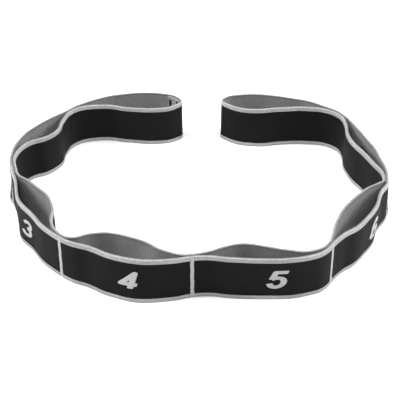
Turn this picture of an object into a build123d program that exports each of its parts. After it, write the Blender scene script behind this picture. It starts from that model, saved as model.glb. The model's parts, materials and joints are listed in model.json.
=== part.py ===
from build123d import *
import math
import os

# A stretching strap standing on its long edge: two layers of elastic webbing, sewn
# through to each other at seven seams, so that eight loops open between the layers.
# Seen from above it travels anticlockwise in a C that is open at the back (+Y).
# Millimetres, +Z up, origin under the centre of the whole strap on its lower edges.

# Driving dimensions
strapWidth = 40.0        # height of the strap as it stands on its edge
loopCount = 8
webThickness = 2.6
layerGap = 0.2           # between the two layers where they are sewn together
hingeGap = 2.0           # from a seam's axis to the cut end of each web
strandCount = 6          # rubber strands inside each web
strandThickness = 0.9
strandHeight = 2.0
strandClearance = 0.05
seamRadius = 1.55        # the thread column of a seam
seamWaist = 0.72         # how far the column draws in between two stitches, as a share
stitchCount = 13         # stitches stacked along one seam
edgeMargin = 0.8         # thread and strands stop this far inside the strap's edges
numeralHeight = 17.5
numeralWidth = 13.5
numeralStroke = 3.6
numeralSlant = 0.28      # sideways lean of the numerals over their height
numeralRise = 0.3        # how proud the woven figure stands of the web
skinGap = 0.02           # between a web's face and the figure woven on it
lapRange = (-30.4, -20)  # how far along X the webbing's tucked-in end reaches
lapThickness = 1.3       # the lapped end is skived to half thickness
lapStitchRows = (9.5, 13.5)   # distance of each row of lap stitches from the strap's end
lapStitchCount = 10
lapStitchStart = 3.8     # height of the lowest lap stitch
lapStitchPitch = 3.6
lapStitchLength = 2.6
lapStitchRadius = 0.4
lapStitchLift = 0.45     # from the lap's face to the middle of the thread
straightSagitta = 1e-4   # an arc flatter than this is drawn as a straight line

halfWeb = webThickness / 2
layerOffset = halfWeb + layerGap / 2

# Where each seam stands in plan, and the direction of travel through it in degrees
seams = {
    1: (-121, 121.3, 231),
    2: (-162, 22, 285),
    3: (-110, -79, 319),
    4: (-6.5, -104.2, 10),
    5: (102.3, -88.8, 58),
    6: (159, 3, 82),
    7: (132, 111.3, 121),
}

# The two blunt ends of the strap, where the outer layer turns back as the inner one
leftEnd = (-17.9, 137.5, 95)
rightEnd = (21, 138.5, 270)

# Way points of each loop's outer layer, between its two seams
outerBulge = {
    1: [(-23, 145.8), (-38, 152.4), (-60, 153.2), (-85, 147.6), (-108, 134.8)],
    2: [(-136, 107.6), (-150, 91.3), (-160.5, 72), (-165.5, 50)],
    3: [(-157.5, 3), (-154, -13), (-150, -29), (-137.5, -47), (-126.5, -64)],
    4: [(-102, -86.6), (-86, -94), (-70, -104), (-52, -110.3), (-34, -111), (-18, -108.8)],
    5: [(8, -104.6), (24, -106.9), (45, -108.3), (65, -107.9), (82, -105.3), (94.5, -100)],
    6: [(113, -77.5), (126.6, -65.5), (138, -50), (146, -35), (151, -18)],
    7: [(160.7, 18), (158.4, 38), (152.5, 64), (144.5, 86)],
    8: [(117.5, 127.6), (99.5, 138.6), (78, 146), (57, 150.3), (38, 149.8), (25.5, 145)],
}

# Way points of each loop's inner layer
innerBulge = {
    1: [(-24, 129.8), (-45, 124.2), (-66, 126.3), (-90, 131), (-110, 128)],
    2: [(-127, 104), (-130, 84), (-139, 72), (-152.5, 64), (-160.5, 52)],
    3: [(-155.5, 9), (-146, 1), (-135, -12), (-126.5, -24), (-121, -38), (-120.5, -57)],
    4: [(-99, -80.8), (-88, -76), (-76, -74.5), (-60, -78.3), (-44, -86), (-30, -97)],
    5: [(5, -99.9), (18, -93.3), (34, -89.4), (50, -92), (66, -97), (82, -99.2)],
    6: [(105.6, -76), (110, -60.3), (117, -42.7), (129.5, -24.5), (141, -11), (151, -4)],
    7: [(157, 15), (152, 27.5), (146.3, 42), (138.5, 60), (134, 78), (134.2, 97)],
    8: [(117, 122.6), (100, 125.4), (80, 125.2), (53, 121.4), (36, 125), (26, 131.8)],
}

# Where along its outer web each numeral is woven, as a share of the web's length
numeralPlace = {1: 0.13, 2: 0.57, 3: 0.58, 4: 0.57, 5: 0.57, 6: 0.56, 7: 0.56, 8: 0.22}

# Pen strokes of the numerals in a box one wide and one high
numeralStrokes = {
    1: [[(0.3, 0.78), (0.62, 1), (0.62, 0)]],
    2: [[(0, 0.8), (0.2, 1), (0.8, 1), (1, 0.8), (1, 0.6), (0, 0), (1, 0)]],
    3: [
        [(0, 1), (0.8, 1), (1, 0.82), (1, 0.68), (0.8, 0.52), (0.35, 0.52)],
        [(0.8, 0.52), (1, 0.34), (1, 0.18), (0.8, 0), (0, 0)],
    ],
    4: [[(0.72, 0), (0.72, 1), (-0.15, 0.3), (1.1, 0.3)]],
    5: [[(1, 1), (0.1, 1), (0.1, 0.56), (0.8, 0.56), (1, 0.4), (1, 0.16), (0.8, 0), (0, 0)]],
    6: [
        [(0.9, 1), (0.25, 1), (0, 0.8), (0, 0.2), (0.2, 0), (0.8, 0)],
        [(0.8, 0), (1, 0.18), (1, 0.38), (0.8, 0.55), (0, 0.55)],
    ],
    7: [[(0, 1), (1, 1), (0.4, 0)]],
    8: [
        [(0.2, 0.52), (0, 0.7), (0, 0.84), (0.2, 1), (0.8, 1), (1, 0.84), (1, 0.7), (0.8, 0.52)],
        [(0.8, 0.52), (0.2, 0.52), (0, 0.34), (0, 0.16), (0.2, 0), (0.8, 0), (1, 0.16)],
        [(1, 0.16), (1, 0.34), (0.8, 0.52)],
    ],
}


def unit(degrees):
    angle = math.radians(degrees)
    return Vector(math.cos(angle), math.sin(angle))


def left_of(direction):
    return Vector(-direction.Y, direction.X)


def beside_seam(seam, side, along):
    """A point of one layer beside a seam: side is +1 for the inner layer, -1 for the
    outer one, and along is the distance past the seam's axis."""
    x, y, heading = seams[seam]
    travel = unit(heading)
    return Vector(x, y) + travel * along + left_of(travel) * (side * layerOffset)


class TangentArc2D:
    """An arc from start to end that leaves start along a given direction."""

    def __init__(self, start, travel, end):
        chord = (end - start).normalized()
        half = (end - start).length / 2
        lean = travel.dot(left_of(chord))
        tilt = math.asin(max(-1.0, min(1.0, lean)))
        self.sagitta = half * math.tan(tilt / 2)
        middle = (start + end) * 0.5 + left_of(chord) * self.sagitta
        endTravel = chord * (2 * travel.dot(chord)) - travel
        self.points = (start, middle, end)
        self.normals = (left_of(travel), left_of(chord), left_of(endTravel))

    def moved(self, offset):
        """The concentric arc that lies to the left of this one by offset."""
        places = [p + n * offset for p, n in zip(self.points, self.normals)]
        if abs(self.sagitta) < straightSagitta:
            return Line(places[0], places[2])
        return ThreePointArc(*places)


def biarc(start, travel, end, endTravel):
    """Two arcs that join two points smoothly, with the given directions at both."""
    across = end - start
    both = travel + endTravel
    reach = across.dot(both)
    bend = 2 * (1 - travel.dot(endTravel))
    if bend < 1e-9:
        step = across.dot(across) / (2 * reach)
    else:
        step = (math.sqrt(reach ** 2 + bend * across.dot(across)) - reach) / bend
    joint = (start + travel * step + end - endTravel * step) * 0.5
    first = TangentArc2D(start, travel, joint)
    jointTravel = left_of(first.normals[2]) * -1
    return [first, TangentArc2D(joint, jointTravel, end)]


def layer_line(loop, side):
    """The middle line of one layer of a loop as smooth arcs, in the direction of travel."""
    bulge = innerBulge[loop] if side > 0 else outerBulge[loop]
    turn = -1 if side > 0 else 1
    if loop == 1:
        start = Vector(*leftEnd[:2])
        startTravel = unit(leftEnd[2]) * turn
    else:
        start = beside_seam(loop - 1, side, hingeGap)
        startTravel = unit(seams[loop - 1][2])
    if loop == loopCount:
        end = Vector(*rightEnd[:2])
        endTravel = unit(rightEnd[2]) * turn
    else:
        end = beside_seam(loop, side, -hingeGap)
        endTravel = unit(seams[loop][2])
    points = [start, *(Vector(*point) for point in bulge), end]
    travels = [startTravel]
    for before, here, after in zip(points, points[1:], points[2:]):
        back = here - before
        on = after - here
        travels.append((back * (1 / back.length ** 2) + on * (1 / on.length ** 2)).normalized())
    travels.append(endTravel)
    arcs = []
    for step in range(len(points) - 1):
        arcs += biarc(points[step], travels[step], points[step + 1], travels[step + 1])
    return arcs


def ribbon(arcs, right, left, low, high):
    """The upright ribbon between two sideways offsets of a line."""
    rightSide = [arc.moved(right) for arc in arcs]
    leftSide = [arc.moved(left) for arc in arcs]
    ends = [
        Line(rightSide[0] @ 0, leftSide[0] @ 0),
        Line(rightSide[-1] @ 1, leftSide[-1] @ 1),
    ]
    face = make_face([*rightSide, *leftSide, *ends])
    return Pos(0, 0, low) * extrude(face, high - low, dir=(0, 0, 1))


def strand_heights():
    """The lower edge of each rubber strand, evenly spaced across the strap's width."""
    pitch = strapWidth / strandCount
    return [pitch * (strand + 0.5) - strandHeight / 2 for strand in range(strandCount)]


def web_and_strands(arcs):
    """One web with a channel for each rubber strand, and the strands that lie in them."""
    half = strandThickness / 2
    room = half + strandClearance
    strands = []
    channels = []
    for low in strand_heights():
        high = low + strandHeight
        strands.append(ribbon(arcs, -half, half, low, high))
        channels.append(ribbon(arcs, -room, room, low - strandClearance, high + strandClearance))
    web = ribbon(arcs, -halfWeb, halfWeb, 0, strapWidth) - channels
    return web, Compound(children=strands)


def pen_line(points):
    """Rounded strokes along a numeral's pen line, slanted, about the numeral's centre."""
    places = [
        Vector(
            (x - 0.5) * (numeralWidth - numeralStroke) + numeralSlant * numeralHeight * (z - 0.5),
            (z - 0.5) * (numeralHeight - numeralStroke),
        )
        for x, z in points
    ]
    strokes = Sketch()
    for a, b in zip(places, places[1:]):
        run = b - a
        middle = (a + b) * 0.5
        turned = math.degrees(math.atan2(run.Y, run.X))
        stroke = SlotCenterToCenter(run.length, numeralStroke)
        strokes += Pos(middle.X, middle.Y) * Rot(0, 0, turned) * stroke
    return strokes


def numeral(loop, arcs):
    """The figure woven on the outward face of a loop, as a thin skin over its web."""
    line = Wire([arc.moved(0) for arc in arcs])
    share = numeralPlace[loop]
    place = line @ share
    travel = line % share
    outward = left_of(travel) * -1
    figure = Sketch()
    for points in numeralStrokes[loop]:
        figure += pen_line(points)
    face = Plane(origin=(place.X, place.Y, strapWidth / 2), x_dir=travel, z_dir=outward)
    outside = -halfWeb - skinGap
    skin = ribbon(arcs, outside - numeralRise, outside, edgeMargin, strapWidth - edgeMargin)
    return skin & (face * extrude(figure, numeralHeight / 2, both=True))


def seam_thread(seam):
    """The column of stitches that sews both layers together, and that they turn about."""
    x, y, _ = seams[seam]
    top = strapWidth - edgeMargin
    pitch = (top - edgeMargin) / stitchCount
    waist = seamRadius * seamWaist
    profile = [Line((0, edgeMargin), (waist, edgeMargin))]
    for stitch in range(stitchCount):
        low = edgeMargin + stitch * pitch
        bead = ThreePointArc((waist, low), (seamRadius, low + pitch / 2), (waist, low + pitch))
        profile.append(bead)
    profile += [Line((waist, top), (0, top)), Line((0, top), (0, edgeMargin))]
    return Pos(x, y, 0) * revolve(Plane.XZ * make_face(profile), Axis.Z)


def lap(arcs):
    """The webbing's tucked-in end, which lies on the inner side of the first outer web."""
    near = halfWeb + layerGap / 4
    band = ribbon(arcs, near, near + lapThickness, edgeMargin, strapWidth - edgeMargin)
    length = lapRange[1] - lapRange[0]
    window = Box(length, strapWidth, strapWidth, align=(Align.MIN, Align.CENTER, Align.MIN))
    return band & (Pos(lapRange[0], leftEnd[1], 0) * window)


def lap_stitches(arcs):
    """Two rows of upright stitches that close the lap, lying on its inner face."""
    offset = halfWeb + layerGap / 4 + lapThickness + lapStitchLift
    line = Wire([arc.moved(offset) for arc in arcs])
    bars = []
    for distance in lapStitchRows:
        place = line @ (distance / line.length)
        for stitch in range(lapStitchCount):
            height = lapStitchStart + stitch * lapStitchPitch
            bar = Cylinder(lapStitchRadius, lapStitchLength)
            bars.append(Pos(place.X, place.Y, height) * bar)
    return Compound(children=bars)


nodes = {}
for loop in range(1, loopCount + 1):
    outer = layer_line(loop, -1)
    inner = layer_line(loop, 1)
    nodes[f"outer_web_{loop}"], nodes[f"outer_strands_{loop}"] = web_and_strands(outer)
    nodes[f"inner_web_{loop}"], nodes[f"inner_strands_{loop}"] = web_and_strands(inner)
    nodes[f"numeral_{loop}"] = numeral(loop, outer)
    lengths = [sum(arc.moved(0).length for arc in layer) for layer in (outer, inner)]
    print(f"loop {loop}: outer layer {lengths[0]:.1f}, inner layer {lengths[1]:.1f}")
for seam in seams:
    nodes[f"seam_thread_{seam}_{seam + 1}"] = seam_thread(seam)
firstOuter = layer_line(1, -1)
nodes["end_lap"] = lap(firstOuter)
nodes["end_lap_stitches"] = lap_stitches(firstOuter)

# Move the plan so that the origin lies under the centre of the strap
boxes = [piece.bounding_box() for piece in nodes.values()]
low = Vector(min(box.min.X for box in boxes), min(box.min.Y for box in boxes))
high = Vector(max(box.max.X for box in boxes), max(box.max.Y for box in boxes))
centre = (low + high) * 0.5
for seam, (x, y, heading) in seams.items():
    print(f"seam {seam}: axis at {x - centre.X:.3f}, {y - centre.Y:.3f}")

os.makedirs("parts", exist_ok=True)
for name, piece in nodes.items():
    export_step(Pos(-centre.X, -centre.Y, 0) * piece, f"parts/{name}.step")
print("centre", centre, "size", high - low, "nodes", len(nodes))
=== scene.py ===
import json
import math

import bmesh
import bpy
import numpy as np
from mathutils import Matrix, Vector


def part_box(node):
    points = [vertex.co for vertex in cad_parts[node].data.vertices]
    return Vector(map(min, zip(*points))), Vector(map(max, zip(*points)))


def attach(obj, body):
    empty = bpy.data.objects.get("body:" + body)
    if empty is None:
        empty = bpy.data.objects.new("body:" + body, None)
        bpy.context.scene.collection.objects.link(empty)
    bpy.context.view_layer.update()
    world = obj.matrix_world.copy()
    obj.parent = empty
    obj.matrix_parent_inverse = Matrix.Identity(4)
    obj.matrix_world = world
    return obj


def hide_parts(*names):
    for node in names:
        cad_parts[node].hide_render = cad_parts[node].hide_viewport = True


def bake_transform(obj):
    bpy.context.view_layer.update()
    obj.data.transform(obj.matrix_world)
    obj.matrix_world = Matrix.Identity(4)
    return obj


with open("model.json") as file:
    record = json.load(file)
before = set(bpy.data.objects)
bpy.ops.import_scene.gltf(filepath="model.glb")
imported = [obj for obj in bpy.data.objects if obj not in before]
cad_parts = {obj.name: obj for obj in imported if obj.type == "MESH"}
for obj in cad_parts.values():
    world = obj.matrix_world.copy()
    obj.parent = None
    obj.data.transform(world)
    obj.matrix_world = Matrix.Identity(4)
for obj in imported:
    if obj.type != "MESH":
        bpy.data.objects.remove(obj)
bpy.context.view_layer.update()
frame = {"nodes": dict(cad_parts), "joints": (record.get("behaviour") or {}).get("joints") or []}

# Everything is worked out in millimetres and turned into metres as each mesh is made.
metre = 0.001
rng = np.random.default_rng(8)
nodes = frame["nodes"]
loopNumbers = range(1, 9)
seamNumbers = range(1, 8)


band = {
    "height": 40.0,
    "halfThickness": 1.3,
    "step": 0.5,         # spacing of the points that describe the line
    "softening": 1.6,    # rounds the joins between one web and the next
    "splitShare": 0.4,   # where along a loop one piece of webbing ends and the next begins
    "bendReach": 7.0,    # the webbing turns within this distance of a seam's axis
}

# How far the top and the bottom edge stand out to the front of the webbing at mid loop
lean = {
    ("outer", 2): (0.0, 1.2),
    ("outer", 4): (-1.4, 1.4),
    ("outer", 5): (0.6, -0.2),
    ("outer", 6): (-0.3, -1.6),
    ("outer", 7): (-1.0, 1.0),
    ("inner", 1): (1.5, -1.2),
    ("inner", 8): (-0.3, 1.0),
}

# How far the foot of the webbing splays outwards, and how far past the seam
footSplay = {2: (2.8, -9.0), 6: (3.0, 9.0)}
splayReach = 11.0

# How far a seam draws the webbing in towards the middle of the strap's curve
seamSink = {2: 0.8, 6: 0.8}
sinkReach = 9.0


def outlineOfTop(name):
    # the ring of plan points round the upper edge of a web
    mesh = nodes[name].data
    places = np.array([tuple(v.co) for v in mesh.vertices]) / metre
    top = places[:, 2].max()
    keys = [tuple(key) for key in np.round(places[:, :2] * 1000).astype(int)]
    uses = {}
    for face in mesh.polygons:
        corners = list(face.vertices)
        if places[corners, 2].min() < top - 0.01:
            continue
        ring = [keys[corner] for corner in corners]
        for a, b in zip(ring, ring[1:] + ring[:1]):
            uses[frozenset((a, b))] = uses.get(frozenset((a, b)), 0) + 1
    beside = {}
    for edge, count in uses.items():
        if count == 1 and len(edge) == 2:
            a, b = edge
            beside.setdefault(a, []).append(b)
            beside.setdefault(b, []).append(a)
    ring = [min(beside)]
    previous = None
    while True:
        onward = [p for p in beside[ring[-1]] if p != previous]
        previous = ring[-1]
        if onward[0] == ring[0]:
            break
        ring.append(onward[0])
    return np.array(ring, float) / 1000


def longSides(ring):
    # the two long sides of a web's outline, cut at its four corners
    before = ring - np.roll(ring, 1, axis=0)
    after = np.roll(ring, -1, axis=0) - ring
    turn = np.cross(before, after) / (np.linalg.norm(before, axis=1) * np.linalg.norm(after, axis=1))
    corners = sorted(np.argsort(-np.abs(turn))[:4])
    chains = []
    for a, b in zip(corners, corners[1:] + [corners[0] + len(ring)]):
        chains.append(ring[np.arange(a, b + 1) % len(ring)])
    chains.sort(key=lambda chain: -lengthOf(chain))
    return chains[0], chains[1]


def lengthOf(points):
    return np.linalg.norm(np.diff(points, axis=0), axis=1).sum()


def evenly(points, step):
    # the same line with evenly spaced points
    along = np.concatenate([[0], np.cumsum(np.linalg.norm(np.diff(points, axis=0), axis=1))])
    places = np.linspace(0, along[-1], max(2, int(round(along[-1] / step)) + 1))
    return np.stack([np.interp(places, along, points[:, axis]) for axis in (0, 1)], axis=1)


def nearestOnLine(points, line):
    a, b = line[:-1], line[1:]
    run = b - a
    share = ((points[:, None] - a) * run).sum(2) / (run * run).sum(1)
    spots = a + run * np.clip(share, 0, 1)[..., None]
    best = np.argmin(np.linalg.norm(points[:, None] - spots, axis=2), axis=1)
    return spots[np.arange(len(points)), best]


def middleLine(name):
    one, other = longSides(outlineOfTop(name))
    one = evenly(one, 1.0)
    return (one + nearestOnLine(one, other)) / 2


seamPlace = {}
for joint in frame["joints"]:
    seam = int(joint["name"].split("_")[-2])
    seamPlace[seam] = np.array(joint["pos_m"][:2]) / metre

# Outer layer from the left end to the right end, then the inner layer back again
parts = []
for layer, order in (("outer", loopNumbers), ("inner", reversed(loopNumbers))):
    for loop in order:
        line = middleLine(f"{layer}_web_{loop}")
        near = seamPlace[loop] if loop < 8 else seamPlace[7]
        startsAtNear = np.linalg.norm(line[0] - near) < np.linalg.norm(line[-1] - near)
        forward = startsAtNear == (loop == 8)
        if forward != (layer == "outer"):
            line = line[::-1]
        parts.append((layer, loop, line))
rough = np.concatenate([line for _, _, line in parts])
rough = np.concatenate([rough, rough[:1]])
keep = np.concatenate([[True], np.linalg.norm(np.diff(rough, axis=0), axis=1) > 1e-3])
path = evenly(rough[keep], band["step"])[:-1]

# A soft running average closes the small gaps at the seams without moving the line
reach = int(4 * band["softening"] / band["step"])
taps = np.exp(-0.5 * (np.arange(-reach, reach + 1) * band["step"] / band["softening"]) ** 2)
taps /= taps.sum()
path = sum(weight * np.roll(path, shift, axis=0) for weight, shift in zip(taps, range(-reach, reach + 1)))

steps = np.linalg.norm(np.roll(path, -1, axis=0) - path, axis=1)
pathAlong = np.concatenate([[0], np.cumsum(steps)[:-1]])
bandLength = steps.sum()
travel = np.roll(path, -1, axis=0) - np.roll(path, 1, axis=0)
travel /= np.linalg.norm(travel, axis=1)[:, None]
toFront = np.stack([travel[:, 1], -travel[:, 0]], axis=1)   # the front is on the right


def alongOf(point, low=0.0, high=None):
    # how far along the band the point lies, looking only between low and high
    high = bandLength if high is None else high
    distance = np.linalg.norm(path - np.asarray(point), axis=1)
    distance[(pathAlong < low) | (pathAlong > high)] = 1e9
    return pathAlong[np.argmin(distance)]


webSpan = {}
travelled = 0.0
for layer, loop, line in parts:
    middle = travelled + lengthOf(line) / 2
    around = lengthOf(line) * 0.75
    start = alongOf(line[0], max(0, middle - around), middle)
    end = alongOf(line[-1], middle, min(bandLength, middle + around))
    webSpan[layer, loop] = (start, end)
    travelled = end
webSpan["outer", 1] = (0.0, webSpan["outer", 1][1])
webSpan["inner", 1] = (webSpan["inner", 1][0], bandLength)

seamAlong = {}
for seam in seamNumbers:
    seamAlong["outer", seam] = (webSpan["outer", seam][1] + webSpan["outer", seam + 1][0]) / 2
    seamAlong["inner", seam] = (webSpan["inner", seam + 1][1] + webSpan["inner", seam][0]) / 2
allSeams = np.array(sorted(seamAlong.values()))

pathLeanTop = np.zeros(len(path))
pathLeanBottom = np.zeros(len(path))
for (layer, loop), (top, bottom) in lean.items():
    start, end = webSpan[layer, loop]
    swell = np.sin(np.pi * np.clip((pathAlong - start) / (end - start), 0, 1))
    pathLeanTop += top * swell
    pathLeanBottom += bottom * swell

for (layer, seam), place in seamAlong.items():
    if seam in seamSink:
        sink = seamSink[seam] * np.exp(-(((pathAlong - place) / sinkReach) ** 2))
        pathLeanTop -= sink if layer == "outer" else -sink
        pathLeanBottom -= sink if layer == "outer" else -sink
    if seam in footSplay:
        outward, past = footSplay[seam]
        if layer == "outer":
            pathLeanBottom += outward * np.exp(-(((pathAlong - place - past) / splayReach) ** 2))
        else:
            atSeam = outward * math.exp(-((past / splayReach) ** 2))
            pathLeanBottom -= atSeam * np.exp(-(((pathAlong - place) / splayReach) ** 2))

# A little unevenness, as soft webbing has, in millimetres
unevenness = {
    "ripple": 0.09,
    "shortest": 18,       # length of the shortest and the longest ripple
    "longest": 60,
    "calmReach": 20,      # ripples die away within this distance of a seam
    "pucker": 0.16,
    "puckerReach": 5.5,
    "puckerPitch": 5.2,   # height of one pucker beside a seam
    "sewnFlat": 2.5,      # no puckers under the stitching itself
}
waves = [
    (
        rng.uniform(unevenness["shortest"], unevenness["longest"]),
        rng.uniform(0, 6.28),
        rng.uniform(-1, 1),
    )
    for _ in range(7)
]


def distanceToSeam(along):
    return np.min(np.abs(np.asarray(along)[..., None] - allSeams), axis=-1)


def onBand(along, height, offset):
    # the place in space of a point given along the band, up its width and out from its middle
    along, height, offset = np.broadcast_arrays(along, height, offset)

    def read(values):
        return np.interp(along, pathAlong, values, period=bandLength)

    normal = np.stack([read(toFront[:, 0]), read(toFront[:, 1])], axis=-1)
    normal /= np.linalg.norm(normal, axis=-1)[..., None]
    share = height / band["height"]
    tilt = read(pathLeanTop) * (2 * share - 1).clip(0) + read(pathLeanBottom) * (1 - 2 * share).clip(0)
    form = unevenness
    fromSeam = distanceToSeam(along)
    calm = np.clip(fromSeam / form["calmReach"], 0, 1) ** 2
    ripple = sum(
        form["ripple"] * np.sin(along * 2 * np.pi / length + phase + skew * share * 3)
        for length, phase, skew in waves
    )
    pucker = form["pucker"] * np.exp(-((fromSeam / form["puckerReach"]) ** 2))
    pucker = pucker * np.sin(height * 2 * np.pi / form["puckerPitch"] + 0.7)
    out = offset + tilt + ripple * calm + pucker * np.clip(fromSeam / form["sewnFlat"], 0, 1)
    x = read(path[:, 0]) + normal[..., 0] * out
    y = read(path[:, 1]) + normal[..., 1] * out
    return np.stack([x, y, height], axis=-1)


print(f"band read: {bandLength:.0f} mm long, {len(path)} points, {len(allSeams)} seam crossings")


creaseAngle = math.radians(50)   # a sharper edge than this is shaded as a crease


def makePiece(name, points, faces, material, values=None):
    mesh = bpy.data.meshes.new(name)
    mesh.from_pydata((np.asarray(points) * metre).tolist(), [], faces)
    piece = bpy.data.objects.new(name, mesh)
    bpy.context.scene.collection.objects.link(piece)
    for key, numbers in (values or {}).items():
        attribute = mesh.attributes.new(key, "FLOAT", "POINT")
        attribute.data.foreach_set("value", np.asarray(numbers, np.float32).ravel())
    surface = bmesh.new()
    surface.from_mesh(mesh)
    bmesh.ops.recalc_face_normals(surface, faces=surface.faces)
    for face in surface.faces:
        face.smooth = True
    for edge in surface.edges:
        if len(edge.link_faces) == 2 and edge.calc_face_angle() > creaseAngle:
            edge.smooth = False
    surface.to_mesh(mesh)
    surface.free()
    mesh.materials.append(material)
    return piece


def bandSlab(name, along, height, outside, inside, material, kept=None):
    # a closed patch lying on the band: two grids of points joined round their rim
    rows, columns = along.shape
    if kept is None:
        kept = np.ones((rows - 1, columns - 1), bool)
    upper = onBand(along, height, outside).reshape(-1, 3)
    lower = onBand(along, height, inside).reshape(-1, 3)
    under = rows * columns
    faces = []
    for i, j in zip(*np.nonzero(kept)):
        a, b = i * columns + j, (i + 1) * columns + j
        c, d = b + 1, a + 1
        faces.append((a, b, c, d))
        faces.append((d + under, c + under, b + under, a + under))
        sides = (((i, j - 1), a, b), ((i + 1, j), b, c), ((i, j + 1), c, d), ((i - 1, j), d, a))
        for (p, q), start, end in sides:
            inGrid = 0 <= p < rows - 1 and 0 <= q < columns - 1
            if not (inGrid and kept[p, q]):
                faces.append((end, start, start + under, end + under))
    points = np.concatenate([upper, lower])
    used = np.zeros(len(points), bool)
    used[np.unique(np.concatenate([np.array(face) for face in faces]))] = True
    place = np.cumsum(used) - 1
    faces = [tuple(int(place[v]) for v in face) for face in faces]
    values = {
        "bandAlong": np.tile(along.ravel(), 2)[used],
        "bandAcross": np.tile(height.ravel(), 2)[used],
    }
    return makePiece(name, points[used], faces, material, values)


def threadTubes(name, lines, radius, material, sides=8):
    # one piece made of many short threads, each a closed tube along its own line
    points = []
    faces = []
    for line in lines:
        line = np.asarray(line, float)
        run = np.gradient(line, axis=0)
        run /= np.linalg.norm(run, axis=1)[:, None]
        guide = np.array([0, 0, 1.0]) if abs(run[0][2]) < 0.8 else np.array([1.0, 0, 0])
        one = np.cross(run, guide)
        one /= np.linalg.norm(one, axis=1)[:, None]
        two = np.cross(run, one)
        first = len(points)
        count = len(line)
        for step in range(count):
            end = min(step, count - 1 - step)
            girth = radius * (0.55 if end == 0 else 1.0)
            for side in range(sides):
                turn = 2 * math.pi * side / sides
                around = one[step] * math.cos(turn) + two[step] * math.sin(turn)
                points.append(line[step] + girth * around)
        for step in range(count - 1):
            for side in range(sides):
                a = first + step * sides + side
                b = first + step * sides + (side + 1) % sides
                faces.append((a, b, b + sides, a + sides))
        faces.append(tuple(first + side for side in reversed(range(sides))))
        faces.append(tuple(first + (count - 1) * sides + side for side in range(sides)))
    return makePiece(name, points, faces, material)


def feed(tree, socket, value):
    if isinstance(value, bpy.types.NodeSocket):
        tree.links.new(value, socket)
    else:
        socket.default_value = value


def calc(tree, operation, *values):
    node = tree.nodes.new("ShaderNodeMath")
    node.operation = operation
    for socket, value in zip(node.inputs, values):
        feed(tree, socket, value)
    return node.outputs[0]


def fade(tree, value, low, high, toLow=0.0, toHigh=1.0):
    node = tree.nodes.new("ShaderNodeMapRange")
    node.interpolation_type = "SMOOTHSTEP"
    for socket, entry in zip(node.inputs, (value, low, high, toLow, toHigh)):
        feed(tree, socket, entry)
    return node.outputs[0]


def blendColours(tree, factor, first, second):
    node = tree.nodes.new("ShaderNodeMix")
    node.data_type = "RGBA"
    feed(tree, node.inputs[0], factor)
    feed(tree, node.inputs[6], first)
    feed(tree, node.inputs[7], second)
    return node.outputs[2]


def noise(tree, spot, scale, detail=2.0, roughness=0.5):
    node = tree.nodes.new("ShaderNodeTexNoise")
    feed(tree, node.inputs["Vector"], spot)
    node.inputs["Scale"].default_value = scale
    node.inputs["Detail"].default_value = detail
    node.inputs["Roughness"].default_value = roughness
    return node.outputs[0]


def surfaceNumber(tree, name):
    node = tree.nodes.new("ShaderNodeAttribute")
    node.attribute_name = name
    return node.outputs["Fac"]


def vector(tree, x, y, z=0.0):
    node = tree.nodes.new("ShaderNodeCombineXYZ")
    for socket, value in zip(node.inputs, (x, y, z)):
        feed(tree, socket, value)
    return node.outputs[0]


def grey(value, warm=0.0):
    return (value + warm, value, value - warm, 1.0)


def newGroup(name, inputs, outputs):
    group = bpy.data.node_groups.new(name, "ShaderNodeTree")
    for label, value in inputs.items():
        kind = "NodeSocketColor" if isinstance(value, tuple) else "NodeSocketFloat"
        socket = group.interface.new_socket(label, in_out="INPUT", socket_type=kind)
        socket.default_value = value
    for label, kind in outputs.items():
        group.interface.new_socket(label, in_out="OUTPUT", socket_type=kind)
    return group, group.nodes.new("NodeGroupInput").outputs, group.nodes.new("NodeGroupOutput").inputs


def placeGroup(tree, group, **values):
    node = tree.nodes.new("ShaderNodeGroup")
    node.node_tree = group
    for label, value in values.items():
        feed(tree, node.inputs[label], value)
    return node.outputs


def makeWovenRelief():
    # ribs run along the webbing and picks cross them, set like bricks from rib to rib
    group, given, out = newGroup(
        "wovenRelief",
        {"along": 0.0, "across": 0.0, "ribPitch": 0.8, "pickPitch": 1.1, "slant": 0.0},
        {"height": "NodeSocketFloat", "yarnTone": "NodeSocketFloat", "gaps": "NodeSocketFloat"},
    )
    rib = calc(group, "DIVIDE", given["across"], given["ribPitch"])
    ribNumber = calc(group, "FLOOR", rib)
    ribRound = calc(group, "SINE", calc(group, "MULTIPLY", calc(group, "FRACT", rib), math.pi))
    shifted = calc(group, "ADD", given["along"], calc(group, "MULTIPLY", given["across"], given["slant"]))
    pick = calc(group, "DIVIDE", shifted, given["pickPitch"])
    pick = calc(group, "ADD", pick, calc(group, "MULTIPLY", ribNumber, 0.5))
    pickNumber = calc(group, "FLOOR", pick)
    pickRound = calc(group, "SINE", calc(group, "MULTIPLY", calc(group, "FRACT", pick), math.pi))
    ribRound = calc(group, "POWER", ribRound, 0.7)
    pickRound = calc(group, "POWER", pickRound, 0.5)
    height = calc(group, "MULTIPLY", ribRound, pickRound)
    feed(group, out["height"], height)
    dots = group.nodes.new("ShaderNodeTexWhiteNoise")
    dots.noise_dimensions = "2D"
    feed(group, dots.inputs["Vector"], vector(group, ribNumber, pickNumber))
    streak = noise(group, vector(group, calc(group, "MULTIPLY", given["along"], 0.02), ribNumber), 1.0)
    dotTone = calc(group, "MULTIPLY", dots.outputs[0], 0.45)
    tone = calc(group, "ADD", dotTone, calc(group, "MULTIPLY", streak, 0.55))
    feed(group, out["yarnTone"], tone)
    feed(group, out["gaps"], fade(group, height, 0.42, 0.08))
    return group


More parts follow.
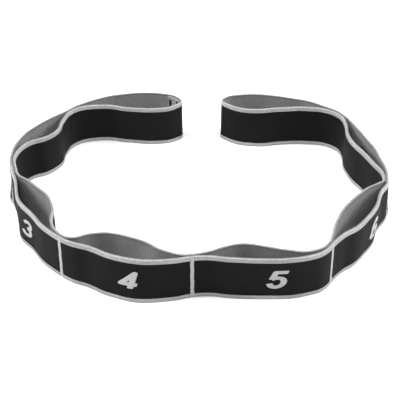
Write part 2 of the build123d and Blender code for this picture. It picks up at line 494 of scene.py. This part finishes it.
def makeHandling():
    # faint uneven shade, lint and a soft bloom where hands have rubbed the cloth
    group, given, out = newGroup(
        "handling",
        {"along": 0.0, "across": 0.0, "side": 0.0, "colour": grey(0.5), "lint": 0.3, "shade": 0.1},
        {"colour": "NodeSocketColor", "roughness": "NodeSocketFloat", "fuzz": "NodeSocketFloat"},
    )
    spot = vector(group, given["along"], given["across"], calc(group, "MULTIPLY", given["side"], 40.0))
    broad = noise(group, spot, 0.045, 3.0)
    fine = noise(group, spot, 1.7, 4.0, 0.65)
    specks = fade(group, noise(group, spot, 0.9, 2.0, 0.7), 0.70, 0.80)
    tone = calc(group, "SUBTRACT", broad, 0.5)
    tone = calc(group, "MULTIPLY_ADD", tone, given["shade"], 1.0)
    toned = group.nodes.new("ShaderNodeVectorMath")
    toned.operation = "SCALE"
    feed(group, toned.inputs[0], given["colour"])
    feed(group, toned.inputs["Scale"], tone)
    lintShare = calc(group, "MULTIPLY", specks, given["lint"])
    linted = blendColours(group, lintShare, toned.outputs[0], grey(0.32))
    feed(group, out["colour"], linted)
    feed(group, out["roughness"], fade(group, fine, 0.25, 0.75, 0.62, 0.88))
    feed(group, out["fuzz"], fine)
    return group


wovenRelief = makeWovenRelief()
handling = makeHandling()


def newMaterial(name, sheen=0.2, sheenRoughness=0.45, specular=0.3):
    material = bpy.data.materials.new(name)
    material.use_nodes = True
    tree = material.node_tree
    shader = tree.nodes["Principled BSDF"]
    shader.inputs["Sheen Weight"].default_value = sheen
    shader.inputs["Sheen Roughness"].default_value = sheenRoughness
    shader.inputs["Specular IOR Level"].default_value = specular
    return material, tree, shader


def bump(tree, shader, height, depth, strength=0.8):
    node = tree.nodes.new("ShaderNodeBump")
    node.inputs["Strength"].default_value = strength
    node.inputs["Distance"].default_value = depth * metre
    feed(tree, node.inputs["Height"], height)
    tree.links.new(node.outputs[0], shader.inputs["Normal"])


webbingLook = {
    "black": grey(0.0018),
    "border": grey(0.325),
    "reverse": grey(0.235),
    # painted shade: a darker strip along the top and bottom edges of the reverse
    "reverseRimShade": grey(0.15),
    # painted shade: the middle of the top and bottom edges is coloured darker, as shade in the groove
    "grooveShade": grey(0.19),
    "gap": grey(0.003),
    "borderWidth": 3.8,
    "rimShadeWidth": 1.5,
    "ribPitch": 0.82,
    "pickPitch": 1.15,
    "reliefDepth": 0.22,
    "sheen": 0.018,
    "sheenRoughness": 0.4,
    "specular": 0.12,
    "tucked": grey(0.29),   # the cloth of the tucked-in end
}


def makeWebbing():
    look = webbingLook
    material, tree, shader = newMaterial(
        "webbing", look["sheen"], look["sheenRoughness"], look["specular"])
    along = surfaceNumber(tree, "bandAlong")
    across = surfaceNumber(tree, "bandAcross")
    side = surfaceNumber(tree, "bandSide")
    fromEdge = calc(tree, "MINIMUM", across, calc(tree, "SUBTRACT", band["height"], across))
    wander = calc(tree, "SUBTRACT", noise(tree, vector(tree, along, side), 0.5), 0.5)
    wander = calc(tree, "MULTIPLY", wander, 0.25)
    fromEdge = calc(tree, "ADD", fromEdge, wander)
    inBorder = fade(tree, fromEdge, look["borderWidth"] + 0.12, look["borderWidth"] - 0.12)
    front = fade(tree, side, -0.5, -0.35)   # side runs from 1 on the front to -1 on the reverse
    # painted shade: the middle of each top and bottom edge, in the groove between the two cloths, is
    # blended to a darker grey
    grooveShade = fade(tree, calc(tree, "ABSOLUTE", side), 0.5, 0.2)
    faceColour = blendColours(tree, inBorder, look["black"], look["border"])
    # painted shade: the reverse is darkened in a thin strip along its top and bottom edges
    inRimShade = fade(tree, fromEdge, look["rimShadeWidth"] + 0.3, look["rimShadeWidth"] - 0.2)
    backColour = blendColours(tree, inRimShade, look["reverse"], look["reverseRimShade"])
    colour = blendColours(tree, front, backColour, faceColour)
    colour = blendColours(tree, grooveShade, colour, look["grooveShade"])
    weave = placeGroup(tree, wovenRelief, along=along, across=across,
                       ribPitch=look["ribPitch"], pickPitch=look["pickPitch"])
    toned = tree.nodes.new("ShaderNodeVectorMath")
    toned.operation = "SCALE"
    feed(tree, toned.inputs[0], colour)
    feed(tree, toned.inputs["Scale"], fade(tree, weave["yarnTone"], 0.0, 1.0, 0.82, 1.18))
    worn = placeGroup(tree, handling, along=along, across=across, side=side,
                      colour=toned.outputs[0], lint=0.10, shade=0.5)
    gapShare = calc(tree, "MULTIPLY", weave["gaps"], 0.45)
    feed(tree, shader.inputs["Base Color"], blendColours(tree, gapShare, worn["colour"], look["gap"]))
    feed(tree, shader.inputs["Roughness"], worn["roughness"])
    height = calc(tree, "MULTIPLY_ADD", worn["fuzz"], 0.25, weave["height"])
    bump(tree, shader, height, look["reliefDepth"])
    return material


figureLook = {
    "front": grey(0.36),
    "reverse": grey(0.012),
    "gap": grey(0.08),
    "ribPitch": 0.62,
    "pickPitch": 1.6,
    "slant": 0.6,
    "reliefDepth": 0.18,
}


def makeFigureYarn(name, colour):
    look = figureLook
    material, tree, shader = newMaterial(name, 0.2, 0.4, 0.3)
    along = surfaceNumber(tree, "bandAlong")
    across = surfaceNumber(tree, "bandAcross")
    weave = placeGroup(tree, wovenRelief, along=along, across=across, slant=look["slant"],
                       ribPitch=look["ribPitch"], pickPitch=look["pickPitch"])
    worn = placeGroup(tree, handling, along=along, across=across, side=0.0,
                      colour=colour, lint=0.05, shade=0.3)
    gap = calc(tree, "MULTIPLY", weave["gaps"], 0.35)
    feed(tree, shader.inputs["Base Color"], blendColours(tree, gap, worn["colour"], look["gap"]))
    feed(tree, shader.inputs["Roughness"], worn["roughness"])
    bump(tree, shader, weave["height"], look["reliefDepth"])
    return material


threadLooks = {
    "seamThread": {"colour": grey(0.34), "roughness": 0.5, "sheen": 0.1, "specular": 0.3},
    "bobbinThread": {"colour": grey(0.004), "roughness": 0.6, "sheen": 0.02, "specular": 0.1},
}


def makeThread(name):
    # twisted sewing thread: fine plies and a satin gloss
    look = threadLooks[name]
    roughness = look["roughness"]
    material, tree, shader = newMaterial(name, look["sheen"], 0.3, look["specular"])
    spot = tree.nodes.new("ShaderNodeTexCoord").outputs["Object"]
    plies = noise(tree, spot, 2600.0, 2.0)
    worn = placeGroup(tree, handling, along=calc(tree, "MULTIPLY", plies, 3.0), across=plies, side=0.0,
                      colour=look["colour"], lint=0.0, shade=0.4)
    feed(tree, shader.inputs["Base Color"], worn["colour"])
    gloss = fade(tree, plies, 0.2, 0.8, roughness - 0.08, roughness + 0.1)
    feed(tree, shader.inputs["Roughness"], gloss)
    bump(tree, shader, plies, 0.05, 0.6)
    return material


def makeRubber():
    material, tree, shader = newMaterial("latexStrand", 0.05, 0.5, 0.4)
    spot = tree.nodes.new("ShaderNodeTexCoord").outputs["Object"]
    mottle = noise(tree, spot, 1400.0, 3.0)
    colour = blendColours(tree, mottle, grey(0.38, 0.05), grey(0.47, 0.05))
    feed(tree, shader.inputs["Base Color"], colour)
    feed(tree, shader.inputs["Roughness"], fade(tree, mottle, 0.2, 0.8, 0.45, 0.65))
    bump(tree, shader, mottle, 0.05, 0.5)
    return material


webbing = makeWebbing()
figureYarn = makeFigureYarn("figureYarn", figureLook["front"])
figureReverse = makeFigureYarn("figureReverse", figureLook["reverse"])
seamThread = makeThread("seamThread")
bobbinThread = makeThread("bobbinThread")
rubber = makeRubber()
print("materials made")


webbingForm = {
    "edgeRound": 1.0,      # how far the rounding reaches down from each edge
    "grooveDepth": 0.38,   # the dip between the two cloths along the edge
    "grooveWidth": 0.36,
    "borderRibs": 5,
    "ribRise": 0.11,
    "pinch": 0.35,         # how far the seam thread draws the front face in
    "pinchWidth": 1.7,
    "step": 1.5,           # spacing of the rings along the webbing
    "seamStep": 0.5,
    "seamReach": 9,        # rings are closer together within this distance of a seam
    "foldStep": 0.75,
    "foldReach": 22,       # and within this distance of a fold at an end
}


def webbingSection():
    # one ring round the webbing: offset to the front, height, and side from 1 to -1
    form = webbingForm
    half, high = band["halfThickness"], band["height"]
    border = webbingLook["borderWidth"]
    ribPitch = (border - form["edgeRound"]) / (form["borderRibs"] - 1)
    ribHeights = np.arange(form["edgeRound"], border + ribPitch * 0.9, ribPitch / 4)
    middle = np.linspace(ribHeights[-1], high - ribHeights[-1], 15)[1:-1]
    up = np.concatenate([ribHeights, middle, high - ribHeights[::-1]])
    inRibs = (up < ribHeights[-1] - 1e-6) | (up > high - ribHeights[-1] + 1e-6)
    fromEdge = np.minimum(up, high - up) - form["edgeRound"]
    rib = np.where(inRibs, form["ribRise"] * np.abs(np.sin(np.pi * fromEdge / ribPitch)) ** 0.8, 0)
    frontFace = np.stack([half + rib - form["ribRise"], up, np.ones(len(up))], axis=1)
    turn = np.linspace(0, np.pi, 17)[1:-1]
    offset = half * np.cos(turn)
    dip = form["grooveDepth"] * np.exp(-((offset / form["grooveWidth"]) ** 2))
    rise = form["edgeRound"] * np.sin(turn) ** 0.75 - dip
    topEdge = np.stack([offset, high - form["edgeRound"] + rise, np.cos(turn)], axis=1)
    backFace = frontFace[::-1] * [-1, 1, -1]
    backFace[:, 0] = form["ribRise"] - half   # the reverse is plain
    bottomEdge = np.stack([-offset, form["edgeRound"] - rise, -np.cos(turn)], axis=1)
    return np.concatenate([frontFace, topEdge, backFace, bottomEdge])


def stationsBetween(start, end):
    # closer together where the webbing is sewn and where it folds round an end
    form = webbingForm
    places = [start]
    while places[-1] < end - 1e-6:
        here = places[-1] % bandLength
        fromFold = min(here, bandLength - here, abs(here - rightFold))
        step = form["step"]
        if distanceToSeam(here) < form["seamReach"]:
            step = form["seamStep"]
        elif fromFold < form["foldReach"]:
            step = form["foldStep"]
        places.append(min(end, places[-1] + step))
    return np.array(places)


rightFold = webSpan["outer", 8][1]   # the left fold is where the band starts, at 0
section = webbingSection()


def makeWebbingPiece(name, start, end):
    form = webbingForm
    stations = stationsBetween(start, end)
    count, around = len(stations), len(section)
    along = np.repeat(stations[:, None], around, axis=1)
    offset = np.repeat(section[None, :, 0], count, axis=0)
    height = np.repeat(section[None, :, 1], count, axis=0)
    side = np.repeat(section[None, :, 2], count, axis=0)
    wrapped = along % bandLength
    pinch = form["pinch"] * np.exp(-((distanceToSeam(wrapped) / form["pinchWidth"]) ** 2))
    offset = offset - pinch * np.clip(side, 0, 1)
    points = onBand(wrapped, height, offset).reshape(-1, 3)
    faces = []
    for i in range(count - 1):
        for j in range(around):
            a, b = i * around + j, i * around + (j + 1) % around
            faces.append((a, b, b + around, a + around))
    faces.append(tuple(reversed(range(around))))
    faces.append(tuple((count - 1) * around + j for j in range(around)))
    values = {"bandAlong": along, "bandAcross": height, "bandSide": side}
    piece = makePiece(name, points, faces, webbing, values)
    return piece, end - start


def splitOf(layer, loop):
    # both layers are cut at the same share of the loop, counted from its lower-numbered end
    start, end = webSpan[layer, loop]
    share = band["splitShare"] if layer == "outer" else 1 - band["splitShare"]
    return start + (end - start) * share


def bendAcrossSeam(piece, seam):
    at = seamAlong["outer", seam]
    direction = np.array([np.interp(at, pathAlong, travel[:, axis]) for axis in (0, 1)])
    direction /= np.linalg.norm(direction)
    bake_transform(piece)


def nodesOf(layers, loops):
    return [f"{layer}_{part}_{loop}" for layer in layers for part in ("web", "strands") for loop in loops]


for seam in seamNumbers:
    for layer in ("outer", "inner"):
        cuts = sorted((splitOf(layer, seam), splitOf(layer, seam + 1)))
        piece, length = makeWebbingPiece(f"{layer}Webbing_{seam}_{seam + 1}", *cuts)
        bendAcrossSeam(piece, seam)
        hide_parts(*nodesOf((layer,), (seam, seam + 1)))
endSpans = {
    1: (splitOf("inner", 1) - bandLength, splitOf("outer", 1)),
    8: (splitOf("outer", 8), splitOf("inner", 8)),
}
for loop, (start, end) in endSpans.items():
    piece, length = makeWebbingPiece("leftEndWebbing" if loop == 1 else "rightEndWebbing", start, end)
    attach(piece, f"loop_{loop}")
    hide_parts(*nodesOf(("outer", "inner"), (loop,)))
print("webbing made")


figures = {
    "height": 17.5,
    "width": 16.2,
    "slant": 0.28,
    "penWide": 4.8,     # width of an upright stroke
    "penTall": 3.1,     # width of a level stroke
    "shift": {1: -4.5, 4: 0.9, 5: 0.9, 6: 2.0},   # how far a figure sits past its place
    "rise": 0.30,
    "cell": 0.36,
    "softEdge": 0.45,
}


def arc(x, y, across, up, start, end):
    # points along part of an oval, from one angle in degrees to another
    turns = np.radians(np.linspace(start, end, max(3, int(abs(end - start) / 18) + 1)))
    return [(x + across * math.cos(t), y + up * math.sin(t)) for t in turns]


# Pen lines in a box one wide and one high
penLines = {
    1: [[(0.22, 0.76), (0.62, 1), (0.62, 0)]],
    2: [arc(0.5, 0.68, 0.48, 0.32, 168, -28) + [(0.04, 0), (1, 0)]],
    3: [arc(0.48, 0.765, 0.44, 0.235, 165, -90), arc(0.48, 0.265, 0.5, 0.265, 90, -168)],
    4: [[(0.70, 0), (0.70, 1), (-0.04, 0.27), (1.10, 0.27)]],
    5: [[(1.04, 1), (0.20, 1), (0.10, 0.50)], [(0.08, 0.52)] + arc(0.5, 0.30, 0.48, 0.32, 118, -165)],
    6: [arc(0.54, 0.70, 0.46, 0.30, 22, 180) + [(0.06, 0.3)], arc(0.52, 0.29, 0.46, 0.29, 0, 360)],
    7: [[(0, 1), (1, 1), (0.34, 0)]],
    8: [arc(0.5, 0.765, 0.42, 0.235, 0, 360), arc(0.5, 0.265, 0.5, 0.265, 0, 360)],
}


def insideFigure(x, z, number):
    # how far a point lies outside the figure's strokes, negative inside them
    form = figures
    squeeze = form["penTall"] / form["penWide"]
    radius = form["penTall"] / 2
    points = np.stack([x * squeeze, z], axis=-1)
    best = np.full(x.shape, 1e9)
    for line in penLines[number]:
        spots = (np.array(line) - 0.5) * [
            (form["width"] - form["penWide"]) * squeeze,
            form["height"] - form["penTall"],
        ]
        closed = np.linalg.norm(spots[0] - spots[-1]) < 1e-6
        for k, (a, b) in enumerate(zip(spots, spots[1:])):
            run = b - a
            length = np.linalg.norm(run)
            run /= length
            atAlong = (points - a) @ run - length / 2
            atSide = (points - a) @ np.array([-run[1], run[0]])
            over = np.stack([np.abs(atAlong) - length / 2, np.abs(atSide) - radius], axis=-1)
            flat = np.linalg.norm(over.clip(0), axis=-1) + np.minimum(over.max(axis=-1), 0)
            best = np.minimum(best, flat)
            if k or closed:
                best = np.minimum(best, np.linalg.norm(points - a, axis=-1) - radius)
    return best


def makeFigure(number, centre, front):
    form = figures
    reachX = form["width"] / 2 + 1.5
    reachZ = form["height"] / 2 + 0.8
    xs = np.arange(-reachX, reachX + form["cell"], form["cell"])
    zs = np.arange(-reachZ, reachZ + form["cell"], form["cell"])
    x, z = np.meshgrid(xs, zs, indexing="ij")
    middle = insideFigure((x[1:, 1:] + x[:-1, :-1]) / 2, (z[1:, 1:] + z[:-1, :-1]) / 2, number)
    kept = middle < 0
    padded = np.pad(kept, 1)
    corners = [padded[1:, 1:], padded[:-1, 1:], padded[1:, :-1], padded[:-1, :-1]]
    touching = np.sum(corners, axis=0)
    rim = (touching > 0) & (touching < 4)
    for _ in range(3):   # draw the stepped rim onto the smooth outline
        value = insideFigure(x, z, number)
        nudge = 0.02
        slopeX = (insideFigure(x + nudge, z, number) - value) / nudge
        slopeZ = (insideFigure(x, z + nudge, number) - value) / nudge
        size = (slopeX ** 2 + slopeZ ** 2).clip(0.1)
        x = np.where(rim, x - value * slopeX / size, x)
        z = np.where(rim, z - value * slopeZ / size, z)
    depth = -insideFigure(x, z, number)
    swell = 1 - (1 - np.clip(depth / form["softEdge"], 0, 1)) ** 2
    rise = form["rise"] * (0.25 + 0.75 * swell)
    surface = band["halfThickness"] - webbingForm["ribRise"]
    way = 1 if front else -1
    along = centre + x + form["slant"] * z
    return bandSlab(
        f"figure{'Front' if front else 'Reverse'}_{number}", along, band["height"] / 2 + z,
        way * (surface + rise * (1 if front else 0.4)), along * 0 + way * (surface - 0.25),
        figureYarn if front else figureReverse, kept)


figurePieces = {}
for loop in loopNumbers:
    low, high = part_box(f"numeral_{loop}")
    middle = np.array([(low.x + high.x) / 2, (low.y + high.y) / 2]) / metre
    centre = alongOf(middle, *webSpan["outer", loop]) + figures["shift"].get(loop, 0)
    figurePieces[loop] = [makeFigure(loop, centre, True), makeFigure(loop, centre, False)]
    for piece in figurePieces[loop]:
        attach(piece, f"loop_{loop}")
    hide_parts(f"numeral_{loop}")
print("figures made")


seamStitch = {
    "width": 3.3,
    "pitch": 0.62,       # height of one crossing of the thread
    "rise": 0.42,
    "margin": 0.9,       # stops this far inside the strap's edges
    "bobbinWidth": 2.4,
    "bobbinRise": 0.12,
    "bobbinMargin": 5.0,
}


def makeSeamStitch(name, centre, width, rise, margin, material):
    form = seamStitch
    low, high = margin, band["height"] - margin
    rows = int((high - low) / (form["pitch"] / 5))
    up = np.linspace(low, high, rows + 1)
    across = np.linspace(-0.5, 0.5, 11)
    x, z = np.meshgrid(across, up, indexing="ij")
    turn = z / form["pitch"]
    ragged = np.sin(np.floor(turn) * 12.9) * 0.12
    wide = width * (1 + 0.06 * np.sin(np.floor(turn) * 7.1))
    along = centre + x * wide + ragged
    lift = np.sqrt(np.clip(1 - (2 * x) ** 2, 0, 1)) ** 0.6
    thread = np.sqrt(np.clip(1 - (2 * (turn % 1) - 1) ** 2, 0, 1))
    ground = band["halfThickness"] - webbingForm["ribRise"] - webbingForm["pinch"] * 0.9
    outside = ground + rise * lift * (0.45 + 0.55 * thread)
    leaning = z + 0.22 * x * form["pitch"]
    return bandSlab(name, along, leaning, outside, outside * 0 + ground - 0.35, material)


for seam in seamNumbers:
    form = seamStitch
    outer = makeSeamStitch(f"seamStitch_{seam}_{seam + 1}", seamAlong["outer", seam],
                           form["width"], form["rise"], form["margin"], seamThread)
    inner = makeSeamStitch(f"bobbinStitch_{seam}_{seam + 1}", seamAlong["inner", seam],
                           form["bobbinWidth"], form["bobbinRise"], form["bobbinMargin"], bobbinThread)
    for piece in (outer, inner):
        bendAcrossSeam(piece, seam)
    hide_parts(f"seam_thread_{seam}_{seam + 1}")
print("seams sewn")


lap = {
    "gap": 0.06,
    "thickness": 1.25,
    "margin": 0.8,
    "stitchLength": 2.7,
    "stitchPitch": 3.6,
    "stitchRadius": 0.34,
    "frayCount": 70,
    "frayRadius": 0.11,
    "strandCount": 6,
    "strandDepth": 0.62,
    "strandRadius": 0.42,
    "tackPitch": 0.42,      # spacing of the zigzag in a bar tack
    "tackRadius": 0.2,
}


def reachAlong(node):
    # the stretch of the first outer web beside a node
    places = np.array([tuple(v.co) for v in nodes[node].data.vertices])[:, :2] / metre
    spots = [alongOf(place, *webSpan["outer", 1]) for place in places]
    return min(spots), max(spots)


def makeLap():
    start, end = reachAlong("end_lap")
    alongs = np.linspace(start, end, 24)
    ups = np.linspace(lap["margin"], band["height"] - lap["margin"], 60)
    along, up = np.meshgrid(alongs, ups, indexing="ij")
    fromEdge = np.minimum(up, band["height"] - up) - lap["margin"]
    rounding = np.sqrt(np.clip(1 - (1 - np.clip(fromEdge / 0.9, 0, 1)) ** 2, 0, 1))
    near = band["halfThickness"] + lap["gap"]
    ragged = 0.25 * np.sin(up * 2.3) + 0.18 * np.sin(up * 5.9 + 1)
    along = along + ragged * (along - start) / (end - start)
    inside = -(near + lap["thickness"] * (0.35 + 0.65 * rounding))
    outside = -near - lap["thickness"] * 0.35 * (1 - rounding)
    piece = bandSlab("tuckedEnd", along, up, outside, inside, lapCloth)
    return piece, start, end


def makeLapCloth():
    look = webbingLook
    material, tree, shader = newMaterial(
        "tuckedCloth", look["sheen"], look["sheenRoughness"], look["specular"])
    along = surfaceNumber(tree, "bandAlong")
    across = surfaceNumber(tree, "bandAcross")
    weave = placeGroup(tree, wovenRelief, along=along, across=across,
                       ribPitch=look["ribPitch"], pickPitch=look["pickPitch"])
    worn = placeGroup(tree, handling, along=along, across=across, side=-1.0,
                      colour=look["tucked"], lint=0.1, shade=0.4)
    gap = calc(tree, "MULTIPLY", weave["gaps"], 0.45)
    feed(tree, shader.inputs["Base Color"], blendColours(tree, gap, worn["colour"], look["gap"]))
    feed(tree, shader.inputs["Roughness"], worn["roughness"])
    bump(tree, shader, weave["height"], look["reliefDepth"])
    return material


def uprightStitches(along, offset, dive):
    # a row of upright stitches whose ends sink into the cloth
    lines = []
    steps = np.linspace(-0.5, 0.5, 9)
    for start in np.arange(3.8, band["height"] - 5, lap["stitchPitch"]):
        middle = start + lap["stitchLength"] / 2
        sink = dive * (2 * np.abs(steps)) ** 3
        lines.append(onBand(along + steps * 0.15, middle + steps * lap["stitchLength"], offset + sink))
    return lines


lapCloth = makeLapCloth()
lapPiece, lapStart, lapEnd = makeLap()
lapInner = band["halfThickness"] + lap["gap"] + lap["thickness"]
rowStart, rowEnd = reachAlong("end_lap_stitches")
rows = (rowStart + 0.5, rowEnd - 0.5)
lapThreads = sum((uprightStitches(row, -lapInner - 0.18, 0.75) for row in rows), [])
lapStitches = threadTubes("tuckedEndStitches", lapThreads, lap["stitchRadius"], seamThread)
frontThreads = sum((uprightStitches(row, band["halfThickness"] - 0.02, -0.7) for row in rows), [])
lapBacks = threadTubes("endStitchesFront", frontThreads, lap["stitchRadius"] * 0.85, bobbinThread)

def tackThread(start, end, low, high, upright):
    # one bar tack: a tight zigzag filling a small rectangle on the tucked end
    steps = np.arange(0, 1, lap["tackPitch"] / ((high - low) if upright else abs(end - start)))
    swing = np.where(np.arange(len(steps)) % 2, 1.0, 0.0)
    along = start + (end - start) * (swing if upright else steps)
    up = low + (high - low) * (steps if upright else swing)
    points = onBand(along, up, -lapInner - 0.12)
    coarse = np.arange(len(points))
    fine = np.linspace(0, len(points) - 1, 3 * len(points) - 2)
    return np.stack([np.interp(fine, coarse, points[:, axis]) for axis in range(3)], axis=1)


tackLines = [
    tackThread(lapEnd - 0.9, lapEnd - 4.3, 9.0, 36.2, True),
    tackThread(lapStart + 1.6, lapStart + 7.0, 33.6, 37.2, False),
]
tacks = threadTubes("endBarTacks", tackLines, lap["tackRadius"], bobbinThread, 6)

frayLines = []
for _ in range(lap["frayCount"]):
    up = rng.uniform(1.5, band["height"] - 1.5)
    depth = -rng.uniform(band["halfThickness"] + lap["gap"] + 0.2, lapInner - 0.2)
    run = np.linspace(0, 1, 5)
    length = rng.uniform(0.7, 1.6)
    droop = rng.uniform(-0.5, 0.5) * run ** 2
    curl = rng.uniform(-0.4, 0.1) * run ** 2
    frayLines.append(onBand(lapEnd - 0.3 + run * length, up + droop, depth + curl))
fray = threadTubes("frayedYarns", frayLines, lap["frayRadius"], lapCloth, 5)
strandLines = []
for strand in range(lap["strandCount"]):
    up = band["height"] * (strand + 0.5) / lap["strandCount"]
    run = np.linspace(-0.8, 0.75, 5)
    depth = -(band["halfThickness"] + lap["gap"] + lap["strandDepth"])
    strandLines.append(onBand(lapEnd + run, up, depth))
strandEnds = threadTubes("rubberEnds", strandLines, lap["strandRadius"], rubber, 10)
lapSlots = (
    (lapPiece, "webbing"),
    (lapStitches, "sewing_thread"),
    (lapBacks, "sewing_thread"),
    (tacks, "sewing_thread"),
    (fray, "webbing"),
    (strandEnds, "rubber_strands"),
)
for piece, slot in lapSlots:
    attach(piece, "loop_1")
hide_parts("end_lap")
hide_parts("end_lap_stitches")
print("tucked-in end made")


studio = {
    "world": 0.30,
    "overhead": 36.0,
    "front": 5.0,
    "side": 40.0,
}


def makeFloor():
    mesh = bpy.data.meshes.new("floor")
    half = 6.0
    corners = [(-half, -half, 0), (half, -half, 0), (half, half, 0), (-half, half, 0)]
    mesh.from_pydata(corners, [], [(0, 1, 2, 3)])
    floor = bpy.data.objects.new("floor", mesh)
    floor.location.z = -0.00005
    bpy.context.scene.collection.objects.link(floor)
    material, tree, shader = newMaterial("paleFloor", 0.0, 0.5, 0.1)
    spot = tree.nodes.new("ShaderNodeTexCoord").outputs["Object"]
    cloud = noise(tree, spot, 1.3, 3.0)
    feed(tree, shader.inputs["Base Color"], blendColours(tree, cloud, grey(0.85), grey(0.88)))
    shader.inputs["Roughness"].default_value = 0.9
    mesh.materials.append(material)


def addSoftbox(name, place, target, size, watts):
    light = bpy.data.lights.new(name, "AREA")
    light.shape = "RECTANGLE"
    light.size, light.size_y = size
    light.energy = watts
    lamp = bpy.data.objects.new(name, light)
    lamp.location = place
    bpy.context.scene.collection.objects.link(lamp)
    towards = np.array(target) - np.array(place)
    lamp.rotation_euler = Vector(towards).to_track_quat("-Z", "Y").to_euler()


def makeStudio():
    world = bpy.data.worlds.new("studio")
    bpy.context.scene.world = world
    world.use_nodes = True
    background = world.node_tree.nodes["Background"]
    background.inputs["Color"].default_value = (1, 1, 1, 1)
    background.inputs["Strength"].default_value = studio["world"]
    addSoftbox("overhead", (0.0, -0.1, 1.6), (0, 0, 0), (1.8, 1.8), studio["overhead"])
    addSoftbox("front", (0.1, -1.6, 1.5), (0, 0, 0.02), (1.6, 1.0), studio["front"])
    addSoftbox("left", (-1.6, 0.0, 1.1), (0, 0, 0.02), (0.8, 0.8), studio["side"])
    addSoftbox("right", (1.6, 0.0, 1.1), (0, 0, 0.02), (0.8, 0.8), studio["side"])


def makeCamera():
    # the lens looks at the strap from in front and above
    look = {"target": (2.458, -21.265, 20.0), "distance": 953.0, "elevation": 34.46, "lens": 99.9}
    rise = math.radians(look["elevation"])
    data = bpy.data.cameras.new("camera")
    data.lens = look["lens"]
    data.sensor_width = 36.0
    data.clip_start = 0.01
    data.clip_end = 50.0
    camera = bpy.data.objects.new("camera", data)
    x, y, z = look["target"]
    back = math.cos(rise) * look["distance"]
    up = math.sin(rise) * look["distance"]
    camera.location = (x * metre, (y - back) * metre, (z + up) * metre)
    camera.rotation_euler = (math.pi / 2 - rise, 0.0, 0.0)
    bpy.context.scene.collection.objects.link(camera)
    bpy.context.scene.camera = camera


makeFloor()
makeStudio()
makeCamera()
bpy.context.scene.view_settings.view_transform = "Standard"
print("studio made")
